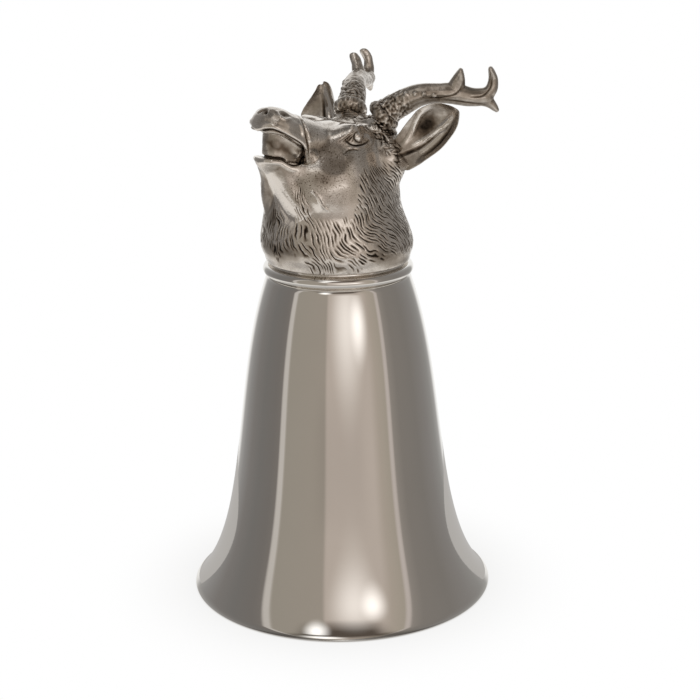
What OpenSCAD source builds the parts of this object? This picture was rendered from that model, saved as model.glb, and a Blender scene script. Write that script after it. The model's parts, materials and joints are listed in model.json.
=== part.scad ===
// Stirrup cup with a stag's head
// A spun bell stands mouth down on its rim. A turned collar and a cast head are
// drawn down onto its closed end by a stud that screws into a plug in the neck.
// Origin: centre of the rim plane. +Z is up, the stag looks along -Y, its left is +X.

/* [Bell cup] */
// Outside diameter of the rim
rim_d = 82; // [76:1:92]
// Outside diameter of the slim stretch half way up
waist_d = 53.4; // [48:0.2:58]
// Height of the slim stretch above the rim
waist_h = 50; // [44:1:56]
// Outside diameter of the closed end
shoulder_d = 38; // [36:0.5:42]
// Height of the bell, rim to closed end
bell_h = 88.4; // [80:0.2:100]
// Thickness of the spun sheet
sheet = 1.2; // [0.8:0.1:2]
// Lean of the flare at the rim, from upright
flare_lean = 42; // [30:1:55]
// Lean of the shoulder at the closed end, from upright
shoulder_lean = 20; // [10:1:26]

/* [Collar and stud] */
// Outside diameter of the collar's half-round
collar_d = 40; // [39:0.2:44]
// Height of the collar's half-round
collar_h = 2.9; // [2:0.1:4]
// Height of the step that the neck stands on, seen as a dark line
shadow_gap = 0.7; // [0.4:0.1:1.5]
// Diameter of that step
step_d = 35.6; // [33:0.2:37]
// Diameter of the stud
stud_d = 6; // [4:0.5:8]
// Diameter of the stud's soldered foot
foot_d = 19; // [14:0.5:22]
// Thickness of the stud's foot
foot_t = 1.5; // [1:0.1:2.5]
// Thickness of the plug in the neck
plug_t = 6; // [4:0.5:8]
// Clearance round what slides together
slip = 0.1; // [0.05:0.01:0.2]

/* [Neck] */
// Diameter of the neck at its foot
neck_d = 38; // [36:0.2:42]
// How far the mane just above the foot swells past the collar
mane_swell = 0.2; // [0:0.1:2]
// Height of the mane's fullest part
mane_h = 4.6; // [3:0.2:7]
// Diameter of the throat
throat_d = 36.6; // [33:0.2:40]
// Height of the throat, where the head begins
throat_h = 18; // [16:0.5:20]
// Forward lean of the neck at the throat
neck_lean = 1.6; // [0:0.2:3]
// Least wall of the hollow neck
neck_wall = 3.4; // [2.5:0.1:5]
// Depth of the hollow, from the foot of the neck
hollow_h = 20; // [14:0.5:22]

/* [Skull] */
// Height of the forehead above the neck's foot
forehead_h = 36.8; // [35:0.2:40]
// Width of the skull at the eyes
skull_w = 23; // [20:0.2:26]
// Length of the skull, front to back
skull_len = 21; // [18:0.5:24]
// Depth of the skull, top to bottom
skull_deep = 17.6; // [15:0.2:20]
// Width over the cheeks
cheek_w = 31; // [27:0.5:34]
// Diameter of the eyeballs
eye_d = 5.6; // [4.5:0.1:6.5]
// How far forward of the neck's axis the eyes are
eye_reach = 2.7; // [1:0.1:5]

/* [Muzzle and mouth] */
// Forward reach of the nose from the neck's axis
nose_reach = 25.4; // [24:0.2:30]
// Height of the nose pad's middle above the neck's foot
nose_h = 37.9; // [36:0.2:41]
// Width of the nose pad
nose_w = 13; // [11:0.2:15]
// Depth of the nose pad, top to bottom
nose_deep = 9; // [7:0.2:11]
// Width of the muzzle behind the nose
muzzle_w = 13.6; // [11:0.2:15]
// Depth of the muzzle behind the nose
muzzle_deep = 9.8; // [8:0.2:12]
// Height of the lower lip above the neck's foot
lip_h = 30.6; // [29:0.2:32]
// Thickness of the lower jaw at the lip
lip_t = 6.2; // [5:0.2:8]
// Opening of the mouth at the front
gape = 6.2; // [4:0.2:7]
// Length of the mouth from the lips to its corner
mouth_len = 11.4; // [8:0.2:13]
// Depth of the mouth from the lips to the tongue
mouth_depth = 2; // [1:0.1:3]

/* [Antlers] */
// Straight length from the root to the fork
antler_len = 27.6; // [24:0.2:31]
// Diameter of the burr at the root
burr_d = 8; // [7.4:0.2:9]
// Diameter of the beam above the burr
beam_d = 7; // [5:0.1:7.2]
// Diameter of the beam at its fork
fork_d = 4.6; // [3:0.1:5]
// Diameter of a tine at its root
tine_d = 4.6; // [3:0.1:5]
// Diameter of a tine's tip
tip_d = 1.5; // [1:0.1:1.8]
// Diameter of the peg that sets the antler in the head
peg_d = 3; // [2:0.1:3.6]
// Length of that peg
peg_len = 5; // [3:0.5:7]

/* [Ears] */
// Length of the ear from root to tip
ear_len = 19.8; // [17:0.2:23]
// Width of the ear at its broadest
ear_w = 11.5; // [9:0.5:14]
// Thickness of the ear at its middle
ear_t = 1.5; // [1:0.1:2]
// Depth of the cup in the ear
ear_cup = 3.2; // [1.5:0.1:4.5]
// Diameter of the peg that sets the ear in the head
ear_peg_d = 2.4; // [1.6:0.1:3]
// Length of that peg
ear_peg_len = 3.5; // [2:0.5:5]

/* [Hidden] */
$fn = 64;

// Places on the head: forward of the neck's axis, to the left, above the neck's foot
function place(forward, left, up) = [left, -forward, up];

// Heights of the stack of pieces
collar_z = bell_h;
step_z = collar_z + collar_h;
neck_z = step_z + shadow_gap;

// Neck and hollow: the mane follows the collar, the neck narrows sideways at the throat,
// and the dome above it is flattened
mane_d = collar_d + 2 * mane_swell;
neck_side = 0.9;
dome_squash = 1.12;
hollow_r = throat_d / 2 * neck_side - neck_wall;
plug_r = hollow_r - slip;

// Forms of the head, each an egg or a tapered limb, and the widths over which they blend
nose_r = [nose_w / 2, 4.7, nose_deep / 2];
nose_at = place(nose_reach - nose_r.y, 0, nose_h);
nose_tilt = 20;
brow_r = 7.2;
muzzle_r = muzzle_deep / 2;
muzzle_root = place(2, 0, forehead_h - brow_r - 1.6);
muzzle_tip = place(nose_reach - nose_r.y - 2.7, 0, nose_h - 1.8);
lip_r = lip_t / 2;
lip_reach = nose_reach - 0.4;
jaw_r = 8.5;
jaw_widen = 1.5;
jaw_root = place(5, 0, throat_h + 1);
jaw_tip = place(lip_reach - lip_r, 0, lip_h - lip_r / 2);
skull_r = [skull_w / 2 - 1, skull_len / 2, skull_deep / 2];
skull_at = place(-7, 0, forehead_h - skull_r.z);
orbit_r = [4, 6, 3.4];
orbit_at = place(eye_reach - 0.7, skull_w / 2 - orbit_r.x + 0.4, forehead_h - orbit_r.z);
cheek_r = [6.5, 10, 8.5];
cheek_at = place(4, cheek_w / 2 - cheek_r.x, throat_h + 4.5);
eye_at = place(eye_reach, skull_w / 2 - 1.6, forehead_h - 2.7);
pedicle_r = [4.4, 4.4, 4];
pedicle_at = place(-9.2, 6, forehead_h - 3.2);
ear_root_r = [4.6, 4.6, 5.2];
ear_root_at = place(-8, 11.6, throat_h + 8.5);
soft_blend = 5;
tight_blend = 2;

// Rays that the head's skin is found along
ray_turns = 72;
neck_rings = 11;
dome_rings = 34;
ray_reach = 45;
ray_steps = 14;

// Antler: where its root lies, and hand-placed points counted from that root, along the beam from
// inside the burr to the fork, and along each tine from the beam to its tip. They give its shape,
// antler_len its size
antler_aim = place(-9.9, 6.6, forehead_h + 0.4);
antler_axis = unit(place(-3.7, 3.2, 4.6));
beam_path = [place(-0.3, 0.3, 0.4), place(-1.4, 1.2, 1.6), place(-3.3, 2.8, 3.2), place(-7.5, 7.1, 6.1),
             place(-12.1, 11.6, 6.5), place(-17, 15.2, 5.5), place(-20.5, 17.6, 5.5)];
fork_tine = [place(-16.5, 15, 5.5), place(-19.8, 17.4, 5.8), place(-21.6, 18.5, 7.2),
             place(-22, 18.9, 9.5), place(-21.5, 19.1, 11.3), place(-20.7, 19.3, 12.8)];
back_tine = [place(-19.1, 16.6, 5.5), place(-21.3, 18.2, 4.1), place(-22.9, 19.4, 2.1)];
mid_tine = [place(-13.8, 12.9, 6.5), place(-14.1, 14.2, 9.7), place(-13.9, 15.4, 12.6)];
antler_size = antler_len / norm(last(beam_path));
tube_sides = 14;
tube_steps = 4;
beam_taper = 0.7;
burr_h = 2.4;
seat_depth = 0.8;

// Ear: where its root lies, and the way that each ear points and faces
ear_aim = place(-8.7, 15, throat_h + 9);
left_ear_axis = unit(place(-8.1, 12.7, 14.5));
right_ear_axis = unit(place(-5.2, 10, 13.5));
left_ear_face = place(0.97, 0.25, 0);
right_ear_face = place(0.95, -0.3, 0);
ear_root_d = 5.4;
ear_edge_t = 0.6;

// Vector helpers
function unit(v) = v / norm(v);
function mix(a, b, t) = a + (b - a) * t;
function clamp(t) = min(max(t, 0), 1);
function smooth(t) = let (u = clamp(t)) u * u * (3 - 2 * u);
function last(list) = list[len(list) - 1];

// Distance helpers: a negative distance is inside
function blend(a, b, k) = min(a, b) - pow(max(k - abs(a - b), 0), 2) / (4 * k);
function tilted(v, angle) =
    [v.x, v.y * cos(angle) + v.z * sin(angle), v.z * cos(angle) - v.y * sin(angle)];
function egg(p, at, r, angle = 0) =
    let (d = tilted(p - at, angle),
         n = norm([d.x / r.x, d.y / r.y, d.z / r.z]),
         g = norm([d.x / pow(r.x, 2), d.y / pow(r.y, 2), d.z / pow(r.z, 2)]))
    g == 0 ? -min(r) : n * (n - 1) / g;
function limb(p, a, b, ra, rb, widen = 1) =
    let (q = [p.x / widen, p.y, p.z],
         t = clamp((q - a) * (b - a) / ((b - a) * (b - a))))
    norm(q - mix(a, b, t)) - mix(ra, rb, t);

// Radius of the neck at a height, from its foot over the mane to the throat
function neck_r(h) = h < mane_h
    ? mix(neck_d, mane_d, smooth(h / mane_h)) / 2
    : mix(mane_d, throat_d, smooth((h - mane_h) / (throat_h - 2 - mane_h))) / 2;
function neck_mid(h) = -neck_lean * smooth(h / throat_h);
function neck_squeeze(h) = mix(1, neck_side, smooth((h - mane_h) / throat_h));
function neck(p) =
    norm([p.x / neck_squeeze(p.z), p.y - neck_mid(p.z), dome_squash * max(p.z - throat_h, 0)])
    - neck_r(p.z);

// The whole head at a point: the left half stands for both
function head_field(point) =
    let (p = [abs(point.x), point.y, point.z],
         bulk = blend(neck(p), egg(p, skull_at, skull_r), soft_blend),
         face = blend(bulk, limb(p, muzzle_root, muzzle_tip, brow_r, muzzle_r, muzzle_w / muzzle_r / 2),
                      soft_blend),
         jaw = blend(face, limb(p, jaw_root, jaw_tip, jaw_r, lip_r, jaw_widen), soft_blend),
         cheeks = blend(jaw, egg(p, cheek_at, cheek_r), soft_blend),
         nose = blend(cheeks, egg(p, nose_at, nose_r, nose_tilt), tight_blend),
         orbits = blend(nose, egg(p, orbit_at, orbit_r), tight_blend),
         eyes = blend(orbits, norm(p - eye_at) - eye_d / 2, tight_blend / 4),
         pedicles = blend(eyes, egg(p, pedicle_at, pedicle_r), tight_blend))
    blend(pedicles, egg(p, ear_root_at, ear_root_r), tight_blend * 2);

// Distance along a ray to the skin, by halving
function skin(from, ray, near = 0, far = ray_reach, left = ray_steps) =
    left == 0 ? (near + far) / 2
    : let (middle = (near + far) / 2)
      head_field(from + ray * middle) < 0
      ? skin(from, ray, middle, far, left - 1)
      : skin(from, ray, near, middle, left - 1);
function skin_point(from, ray) = from + ray * skin(from, ray);

// Rings of the head, level up the neck and then fanning over the dome
function head_ring(from, rise) = [for (i = [0 : ray_turns - 1])
    let (a = 360 * i / ray_turns)
    skin_point(from, [sin(a) * cos(rise), -cos(a) * cos(rise), sin(rise)])];
head_core = [0, neck_mid(throat_h), throat_h];
function head_rings() = concat(
    [for (i = [0 : neck_rings - 1])
        let (h = throat_h * i / neck_rings) head_ring([0, neck_mid(h), h], 0)],
    [for (i = [0 : dome_rings - 1]) head_ring(head_core, 90 * i / dome_rings)]);

// Skin over a stack of rings, closed at both ends by a point
module rings_solid(rings, first, end) {
    n = len(rings[0]);
    m = len(rings);
    points = concat([for (ring = rings) each ring], [first, end]);
    sides = [for (j = [0 : m - 2], i = [0 : n - 1])
        let (k = (i + 1) % n) each [
            [j * n + i, (j + 1) * n + i, (j + 1) * n + k],
            [j * n + i, (j + 1) * n + k, j * n + k]]];
    foot = [for (i = [0 : n - 1]) [m * n, i, (i + 1) % n]];
    crown = [for (i = [0 : n - 1]) [m * n + 1, (m - 1) * n + (i + 1) % n, (m - 1) * n + i]];
    polyhedron(points, concat(sides, foot, crown));
}

// Smooth curve through points, n steps to a span
function bend(p0, p1, p2, p3, t) =
    0.5 * (2 * p1 + (p2 - p0) * t + (2 * p0 - 5 * p1 + 4 * p2 - p3) * t * t
           + (3 * p1 - p0 - 3 * p2 + p3) * t * t * t);
function curve(p, n) = let (e = len(p) - 1) concat(
    [for (i = [0 : e - 1], j = [0 : n - 1])
        bend(p[max(i - 1, 0)], p[i], p[i + 1], p[min(i + 2, e)], j / n)],
    [last(p)]);

// Ring of a tube at a point, square to its way
function tube_ring(at, way, r) =
    let (side = unit(cross(way, [0, 0, 1])), up = cross(side, way))
    [for (i = [0 : tube_sides - 1])
        let (a = 360 * i / tube_sides) at + r * (cos(a) * side - sin(a) * up)];

// Tapered tube along points, with a rounded end
module tube(points, r_first, r_end, taper = 1) {
    path = curve(points, tube_steps);
    m = len(path) - 1;
    ways = [for (i = [0 : m]) unit(path[min(i + 1, m)] - path[max(i - 1, 0)])];
    body = [for (i = [0 : m]) tube_ring(path[i], ways[i], mix(r_first, r_end, pow(i / m, taper)))];
    cap = [for (a = [30, 60]) tube_ring(path[m] + r_end * sin(a) * ways[m], ways[m], r_end * cos(a))];
    rings_solid(concat(body, cap), path[0], path[m] + r_end * ways[m]);
}

// Turns +Z to a direction and moves to a point
module along(at, way) {
    translate(at) rotate([0, acos(way.z), atan2(way.y, way.x)]) children();
}

// Profile of the bell's outside as two curves that meet at the waist
function bezier(p, t) =
    pow(1 - t, 3) * p[0] + 3 * t * pow(1 - t, 2) * p[1] + 3 * t * t * (1 - t) * p[2] + pow(t, 3) * p[3];
waist_lean = 7;
top_pull = 12;
waist_pull_up = 14;
waist_pull_down = 22;
rim_pull = 14;
profile_steps = 14;
function lean_down(angle) = [sin(angle), -cos(angle)];
bell_top = [shoulder_d / 2, bell_h];
bell_waist = [waist_d / 2, waist_h];
bell_rim = [rim_d / 2, 0];
upper_curve = [bell_top, bell_top + top_pull * lean_down(shoulder_lean),
               bell_waist - waist_pull_up * lean_down(waist_lean), bell_waist];
lower_curve = [bell_waist, bell_waist + waist_pull_down * lean_down(waist_lean),
               bell_rim - rim_pull * lean_down(flare_lean), bell_rim];
bell_outside = concat(
    [for (i = [0 : profile_steps - 1]) bezier(upper_curve, i / profile_steps)],
    [for (i = [0 : profile_steps]) bezier(lower_curve, i / profile_steps)]);

// The same profile moved in by the sheet's thickness, trimmed at the rim and the closed end
bell_inside = [for (i = [1 : len(bell_outside) - 2])
    let (way = unit(bell_outside[i + 1] - bell_outside[i - 1]),
         p = bell_outside[i] + sheet * [way.y, -way.x])
    if (p.y > sheet && p.y < bell_h - 2 * sheet) p];
land = sheet / cos(flare_lean);

module bell_cup() {
    color("silver") rotate_extrude($fn = 128)
        polygon(concat(
            [[0, bell_h]], bell_outside, [[rim_d / 2 - land, 0]],
            [for (i = [len(bell_inside) - 1 : -1 : 0]) bell_inside[i]],
            [[bell_inside[0].x, bell_h - sheet], [0, bell_h - sheet]]));
}

// Half-round collar with the step that the neck stands on
module collar_ring() {
    bead_r = collar_h / 2;
    bore_r = foot_d / 2 + slip;
    color("gainsboro") rotate_extrude($fn = 128)
        polygon(concat(
            [[bore_r, collar_z]],
            [for (a = [-90 : 15 : 90])
                [collar_d / 2 - bead_r + bead_r * cos(a), collar_z + bead_r + bead_r * sin(a)]],
            [[step_d / 2, step_z], [step_d / 2, neck_z], [bore_r, neck_z]]));
}

// Stud with a round foot soldered to the closed end
module neck_stud() {
    past_plug = 1.5;
    color("goldenrod") translate([0, 0, bell_h]) {
        cylinder(d = foot_d, h = foot_t);
        cylinder(d = stud_d, h = neck_z + plug_t + past_plug - bell_h);
    }
}

// Tapped plug set in the hollow neck
module neck_plug() {
    color("darkgoldenrod") translate([0, 0, neck_z]) difference() {
        cylinder(r = plug_r, h = plug_t);
        translate([0, 0, -1]) cylinder(d = stud_d + 2 * slip, h = plug_t + 2);
    }
}

// Roots of the antlers and ears, found on the head's skin and sunk into it
antler_root = skin_point(skull_at, unit(antler_aim - skull_at)) - seat_depth * antler_axis;
ear_root = skin_point(head_core, unit(ear_aim - head_core));

// Flat seat with a blind hole for the peg of an antler or ear
module socket(root, axis, seat_d, hole_d, hole_len) {
    along(root, axis) {
        cylinder(d = seat_d + 2 * slip, h = seat_d);
        translate([0, 0, -hole_len - slip]) cylinder(d = hole_d + 2 * slip, h = hole_len + 1);
    }
}

module ear_socket(axis) {
    socket(ear_root - seat_depth * axis, axis, ear_root_d, ear_peg_d, ear_peg_len);
}

module both_sides() {
    children();
    mirror([1, 0, 0]) children();
}

// Core of the hollow neck, domed at its end
module hollow() {
    dome = hollow_r / 2;
    rotate_extrude() polygon(concat(
        [[0, -1], [hollow_r, -1]],
        [for (a = [0 : 15 : 90]) [hollow_r * cos(a), hollow_h - dome + dome * sin(a)]]));
}

// Side view of the open mouth, forward to the right: the lips part at the front,
// the upper lip bends down to the round corner
corner_r = 1.8;
corner = [lip_reach - mouth_len + corner_r, lip_h - 0.6];
front = nose_reach + corner_r;
upper_lip = [lip_reach, lip_h + gape];
lip_bend = upper_lip - [4, 0.8];
mouth_outline = concat(
    [[front, lip_h], [front, upper_lip.y + 1], upper_lip, lip_bend],
    [for (a = [120 : 15 : 270]) corner + corner_r * [cos(a), sin(a)]]);

// Egg-shaped solid
module egg_solid(at, r) {
    rings = [for (rise = [-75 : 15 : 75]) [for (a = [0 : 15 : 345])
        at + [r.x * sin(a) * cos(rise), -r.y * cos(a) * cos(rise), r.z * sin(rise)]]];
    rings_solid(rings, at - [0, 0, r.z], at + [0, 0, r.z]);
}

// Tongue, left standing in the mouth behind the lips
tongue_r = [muzzle_w / 2 - 0.6 * mouth_depth, 8, 7.5];
tongue_at = place(lip_reach - 0.8 * mouth_depth - tongue_r.y, 0, lip_h + gape / 3);

module mouth() {
    difference() {
        rotate([90, 0, -90]) linear_extrude(skull_w, center = true) polygon(mouth_outline);
        egg_solid(tongue_at, tongue_r);
    }
}

// Hollow cast head and neck
module head_casting() {
    color("darkgray") translate([0, 0, neck_z]) difference() {
        rings_solid(head_rings(), [0, 0, 0], skin_point(head_core, [0, 0, 1]));
        hollow();
        mouth();
        both_sides() socket(antler_root, antler_axis, burr_d, peg_d, peg_len);
        ear_socket(left_ear_axis);
        mirror([1, 0, 0]) ear_socket(right_ear_axis);
    }
}

// Left antler: burr, beam, three tines and the peg
module antler() {
    translate(antler_root + [0, 0, neck_z]) {
        tube(antler_size * beam_path, beam_d / 2, fork_d / 2, beam_taper);
        for (tine = [fork_tine, back_tine, mid_tine])
            tube(antler_size * tine, tine_d / 2, tip_d / 2);
        along([0, 0, 0], antler_axis) {
            burr();
            translate([0, 0, -peg_len]) cylinder(d = peg_d, h = peg_len + 1);
        }
    }
}

// Round bead at the antler's root, flat underneath
module burr() {
    bead_r = burr_h / 2;
    rotate_extrude($fn = 32) polygon(concat(
        [[0, 0]],
        [for (a = [-90 : 30 : 90]) [burr_d / 2 - bead_r + bead_r * cos(a), bead_r + bead_r * sin(a)]],
        [[0, burr_h]]));
}

module antler_left() { color("dimgray") antler(); }
module antler_right() { color("dimgray") mirror([1, 0, 0]) antler(); }

// Ear: a leaf on a round root with a peg, made as a left ear. It is narrow and flat at the root,
// cupped and broadest part of the way up, and drawn in from there to its tip
ear_steps = 14;
ear_across = 12;
leaf_start = ear_root_d / 3;
root_narrow = 0.66;
cupped_at = 0.3;
broad_at = 0.42;
tip_at = 1.02;
tip_round = 2.4;
function ear_half(t) =
    let (draw_in = clamp((t - broad_at) / (tip_at - broad_at)))
    ear_w / 2 * mix(root_narrow, 1, smooth(2 * t)) * sqrt(1 - pow(draw_in, tip_round));

// A point of the leaf: t from root to tip, s from edge to edge, on the hollow side or the back
function ear_skin(t, s, back, axis, out) =
    let (half = ear_half(t),
         dip = ear_cup * smooth(t / cupped_at) * 2 * half / ear_w * (1 - s * s),
         thick = back ? mix(ear_edge_t, ear_t, 1 - s * s) : 0)
    axis * mix(leaf_start, ear_len, t) + cross(axis, out) * half * s - out * (dip + thick);
function ear_ring(t, axis, out) = concat(
    [for (j = [0 : ear_across]) ear_skin(t, 2 * j / ear_across - 1, false, axis, out)],
    [for (j = [ear_across : -1 : 0]) ear_skin(t, 2 * j / ear_across - 1, true, axis, out)]);
function ear_middle(t, axis, out) =
    (ear_skin(t, 0, false, axis, out) + ear_skin(t, 0, true, axis, out)) / 2;

module ear(axis, face) {
    out = unit(face - axis * (face * axis));
    rings = [for (i = [0 : ear_steps]) ear_ring(i / ear_steps, axis, out)];
    translate(ear_root - seat_depth * axis + [0, 0, neck_z]) {
        rings_solid(rings, ear_middle(0, axis, out), ear_middle(1, axis, out));
        along([0, 0, 0], axis) {
            cylinder(d = ear_root_d, h = ear_root_d / 2);
            translate([0, 0, -ear_peg_len]) cylinder(d = ear_peg_d, h = ear_peg_len + 1);
        }
    }
}

module ear_left() { color("gray") ear(left_ear_axis, left_ear_face); }
module ear_right() { color("gray") mirror([1, 0, 0]) ear(right_ear_axis, right_ear_face); }

bell_cup();
collar_ring();
neck_stud();
neck_plug();
head_casting();
antler_left();
antler_right();
ear_left();
ear_right();
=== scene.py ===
"""Dresses the stag's-head stirrup cup: a mirror-polished bell and collar under an antiqued cast head."""

import json
import logging
import math
import random
from dataclasses import dataclass, field
from enum import Enum
from functools import partial
from typing import Any, Callable

import bpy
import numpy as np
from mathutils import Matrix, Vector, noise

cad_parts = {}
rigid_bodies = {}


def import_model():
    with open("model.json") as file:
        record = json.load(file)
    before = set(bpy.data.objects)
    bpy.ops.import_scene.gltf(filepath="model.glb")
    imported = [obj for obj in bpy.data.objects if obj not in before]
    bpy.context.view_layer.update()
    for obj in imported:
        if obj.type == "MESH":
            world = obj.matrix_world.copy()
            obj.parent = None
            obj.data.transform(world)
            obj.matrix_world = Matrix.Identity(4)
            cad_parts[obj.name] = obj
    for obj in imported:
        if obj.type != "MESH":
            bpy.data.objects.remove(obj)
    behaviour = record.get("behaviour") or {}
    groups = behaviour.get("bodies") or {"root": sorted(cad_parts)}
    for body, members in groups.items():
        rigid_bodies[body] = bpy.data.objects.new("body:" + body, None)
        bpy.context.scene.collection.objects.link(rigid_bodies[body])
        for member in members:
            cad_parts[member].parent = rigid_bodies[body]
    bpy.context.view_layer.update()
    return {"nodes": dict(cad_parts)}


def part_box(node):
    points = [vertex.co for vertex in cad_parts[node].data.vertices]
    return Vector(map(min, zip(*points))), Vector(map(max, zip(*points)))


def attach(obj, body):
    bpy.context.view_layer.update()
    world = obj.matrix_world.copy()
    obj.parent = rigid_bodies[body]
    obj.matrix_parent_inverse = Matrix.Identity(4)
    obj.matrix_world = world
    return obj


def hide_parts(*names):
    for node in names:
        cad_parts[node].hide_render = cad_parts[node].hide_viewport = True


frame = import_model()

log = logging.getLogger("stirrup_cup")

MM = 0.001
# Points nearer to each other than this are one point
WELD = MM / 500
ROOT = "root"
Pair = tuple[float, float]
Path = tuple[Pair, ...]
Point = tuple[float, float, float]


class Slot(Enum):
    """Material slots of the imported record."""

    PLATE = "polished_plate"
    PEWTER = "antiqued_pewter"


class Side(Enum):
    """Sides of the head, as the stag has them."""

    LEFT = "left"
    RIGHT = "right"

    def mirror(self) -> np.ndarray:
        """Returns what a place on the left is multiplied by to bring it to this side."""
        return np.array([1.0 if self is Side.LEFT else -1.0, 1.0, 1.0])


def linear(hex_colour: str) -> tuple[float, float, float, float]:
    """Turns an sRGB hex colour into linear values.

    Args:
        hex_colour: Colour as "#rrggbb".

    Returns:
        Red, green, blue and alpha, linear.
    """
    parts = [int(hex_colour[i:i + 2], 16) / 255 for i in (1, 3, 5)]
    values = [c / 12.92 if c <= 0.04045 else ((c + 0.055) / 1.055) ** 2.4 for c in parts]
    return (*values, 1.0)


def add_node(tree: bpy.types.NodeTree, kind: str, inputs: dict | None = None,
             **options: Any) -> bpy.types.Node:
    """Adds a shader node with its settings and links.

    Args:
        tree: Node tree that gets the node.
        kind: Blender's type name of the node, without the ShaderNode that it starts with.
        inputs: Sockets in use by name or number, each with a constant, the output socket that feeds it, or
            a node whose first output in use feeds it.
        options: Properties of the node itself.

    Returns:
        The new node.
    """
    node = tree.nodes.new("ShaderNode" + kind)
    for name, value in options.items():
        setattr(node, name, value)
    used = [socket for socket in node.inputs if socket.enabled]
    for key, value in (inputs or {}).items():
        target = used[key] if isinstance(key, int) else next(each for each in used if each.name == key)
        if isinstance(value, bpy.types.Node):
            value = next(socket for socket in value.outputs if socket.enabled)
        if isinstance(value, bpy.types.NodeSocket):
            tree.links.new(value, target)
        else:
            target.default_value = value
    return node


def node_adder(owner: bpy.types.ID) -> Callable[..., bpy.types.Node]:
    """Empties the node tree of a material, a lamp or a world.

    Args:
        owner: What the tree belongs to.

    Returns:
        add_node for that tree.
    """
    owner.use_nodes = True
    owner.node_tree.nodes.clear()
    return partial(add_node, owner.node_tree)


def set_stops(blend: bpy.types.Node, stops: tuple) -> None:
    """Places the stops of a colour ramp.

    Args:
        blend: Colour ramp node.
        stops: Pairs of a position from 0 to 1 and a linear colour.
    """
    elements = blend.color_ramp.elements
    while len(elements) < len(stops):
        elements.new(1.0)
    for element, (position, value) in zip(elements, stops):
        element.position = position
        element.color = value


def deselect() -> None:
    """Deselects every object."""
    for each in bpy.context.selected_objects:
        each.select_set(False)


def activate(piece: bpy.types.Object) -> None:
    """Makes a piece the only selected object and the active one."""
    deselect()
    piece.select_set(True)
    bpy.context.view_layer.objects.active = piece


def apply_modifier(piece: bpy.types.Object, kind: str, **settings: Any) -> None:
    """Adds a modifier to a piece and applies it.

    Args:
        piece: Object that is changed.
        kind: Blender's type name of the modifier.
        settings: Properties of the modifier.
    """
    activate(piece)
    modifier = piece.modifiers.new(kind.lower(), kind)
    for name, value in settings.items():
        setattr(modifier, name, value)
    bpy.ops.object.modifier_apply(modifier=modifier.name)


def read_points(piece: bpy.types.Object) -> np.ndarray:
    """Returns a piece's points in millimetres, one to a row."""
    flat = np.empty(len(piece.data.vertices) * 3, np.float32)
    piece.data.vertices.foreach_get("co", flat)
    return flat.reshape(-1, 3).astype(float) / MM


def read_normals(piece: bpy.types.Object) -> np.ndarray:
    """Returns the normals at a piece's points, one to a row."""
    flat = np.empty(len(piece.data.vertices) * 3, np.float32)
    piece.data.vertex_normals.foreach_get("vector", flat)
    return flat.reshape(-1, 3).astype(float)


def write_points(piece: bpy.types.Object, points: np.ndarray) -> None:
    """Moves a piece's points.

    Args:
        piece: Object that is changed.
        points: New places in millimetres, one to a row.
    """
    piece.data.vertices.foreach_set("co", (points * MM).astype(np.float32).ravel())
    piece.data.update()


def ramp(values: np.ndarray, begin: float, full: float) -> np.ndarray:
    """Grades values evenly from 0 to 1.

    Args:
        values: Values that are graded.
        begin: Value that gives 0, as all before it do.
        full: Value that gives 1, as all beyond it do.

    Returns:
        A number from 0 to 1 for each value.
    """
    return np.clip((values - begin) / (full - begin), 0, 1)


def spun(name: str, outline: list[tuple[float, float]], turns: int) -> bpy.types.Object:
    """Spins an outline round the upright axis, as on a lathe.

    Args:
        name: Name of the piece.
        outline: Radius and height of each point, in millimetres.
        turns: Steps of the full turn.

    Returns:
        The closed, smooth piece.
    """
    deselect()
    bpy.ops.mesh.primitive_plane_add(size=MM)
    piece = bpy.context.object
    piece.name = name
    bpy.ops.object.mode_set(mode="EDIT")
    bpy.ops.mesh.select_all(action="SELECT")
    bpy.ops.mesh.merge(type="CENTER")
    start = outline[0]
    bpy.ops.transform.translate(value=(start[0] * MM, 0, start[1] * MM))
    for here, there in zip(outline, outline[1:]):
        step = ((there[0] - here[0]) * MM, 0, (there[1] - here[1]) * MM)
        bpy.ops.mesh.extrude_region_move(TRANSFORM_OT_translate={"value": step})
    bpy.ops.mesh.select_all(action="SELECT")
    bpy.ops.mesh.spin(steps=turns, angle=math.tau, center=(0, 0, 0), axis=(0, 0, 1))
    bpy.ops.mesh.select_all(action="SELECT")
    bpy.ops.mesh.remove_doubles(threshold=WELD)
    bpy.ops.mesh.normals_make_consistent(inside=False)
    bpy.ops.object.mode_set(mode="OBJECT")
    bpy.ops.object.shade_smooth_by_angle(angle=math.radians(50))
    return piece


def dress(piece: bpy.types.Object, material: bpy.types.Material, slot: Slot, *nodes: str) -> None:
    """Gives a finished piece its material and its place in the frame.

    Args:
        piece: Finished piece.
        material: Its finish.
        slot: The record's slot for that finish; not used.
        nodes: CAD nodes that the piece stands for.
    """
    piece.data.materials.clear()
    piece.data.materials.append(material)
    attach(piece, ROOT)
    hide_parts(*nodes)
    log.info("%s: %d faces, stands for %s", piece.name, len(piece.data.polygons), ", ".join(nodes))


def curve_through(points: Path, steps: int = 5) -> np.ndarray:
    """Draws a smooth curve through given points.

    Args:
        points: Points of the curve.
        steps: Steps from each point to the next.

    Returns:
        Points along the curve, one to a row.
    """
    p = np.asarray(points, float)
    last = len(p) - 1
    rows = []
    for i in range(last):
        before, here, there, after = p[max(i - 1, 0)], p[i], p[i + 1], p[min(i + 2, last)]
        for t in np.arange(steps) / steps:
            rows.append(0.5 * (2 * here + (there - before) * t
                               + (2 * before - 5 * here + 4 * there - after) * t ** 2
                               + (3 * here - before - 3 * there + after) * t ** 3))
    rows.append(p[last])
    return np.array(rows)


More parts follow.
